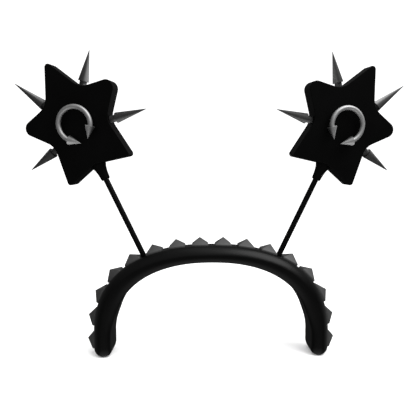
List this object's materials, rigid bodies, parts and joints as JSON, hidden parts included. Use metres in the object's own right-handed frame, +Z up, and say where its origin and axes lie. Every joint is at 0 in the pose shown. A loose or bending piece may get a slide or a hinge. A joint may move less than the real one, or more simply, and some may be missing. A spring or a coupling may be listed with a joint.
{
  "type": "star antenna headband",
  "caption": "Arched black headband with pyramid studs along its crest and spiked stars on straight stalks, each star bearing an open ring; worn over the crown of the head.",
  "frame": {"origin": "on the surface that the two feet of the band stand on, in the middle of the part's width and depth", "axes": "+Z up through the crown of the band, +X along the span from foot to foot, to the right as seen from the front, -Y towards the front, where the rings are"},
  "size_m": [0.2494, 0.0232, 0.1903],
  "materials": {
    "band_black": "smooth black coated cover, satin",
    "moulded_black": "moulded black plastic, satin",
    "rod_black": "black coated rod, satin",
    "plated_grey": "grey nickel plating, satin",
    "ring_steel": "bright steel, soft polish"
  },
  "bodies": {
    "root": {"band": "band_black", "stud_left_1": "plated_grey", "stud_left_2": "plated_grey", "stud_left_3": "plated_grey", "stud_left_4": "plated_grey", "stud_left_5": "plated_grey", "stud_left_6": "plated_grey", "stud_left_7": "plated_grey", "stud_left_8": "plated_grey", "stud_right_1": "plated_grey", "stud_right_2": "plated_grey", "stud_right_3": "plated_grey", "stud_right_4": "plated_grey", "stud_right_5": "plated_grey", "stud_right_6": "plated_grey", "stud_right_7": "plated_grey", "stud_right_8": "plated_grey", "stalk_left": "rod_black", "stalk_right": "rod_black", "socket_left": "moulded_black", "socket_right": "moulded_black", "star_left": "moulded_black", "star_right": "moulded_black", "spike_left_top_inner": "plated_grey", "spike_left_top_outer": "plated_grey", "spike_left_low_inner": "plated_grey", "spike_left_low_outer": "plated_grey", "spike_right_top_inner": "plated_grey", "spike_right_top_outer": "plated_grey", "spike_right_low_inner": "plated_grey", "spike_right_low_outer": "plated_grey", "ring_left": "ring_steel", "ring_right": "ring_steel", "ring_cone_left_inner": "ring_steel", "ring_cone_left_outer": "ring_steel", "ring_cone_right_inner": "ring_steel", "ring_cone_right_outer": "ring_steel"}
  },
  "joints": []
}
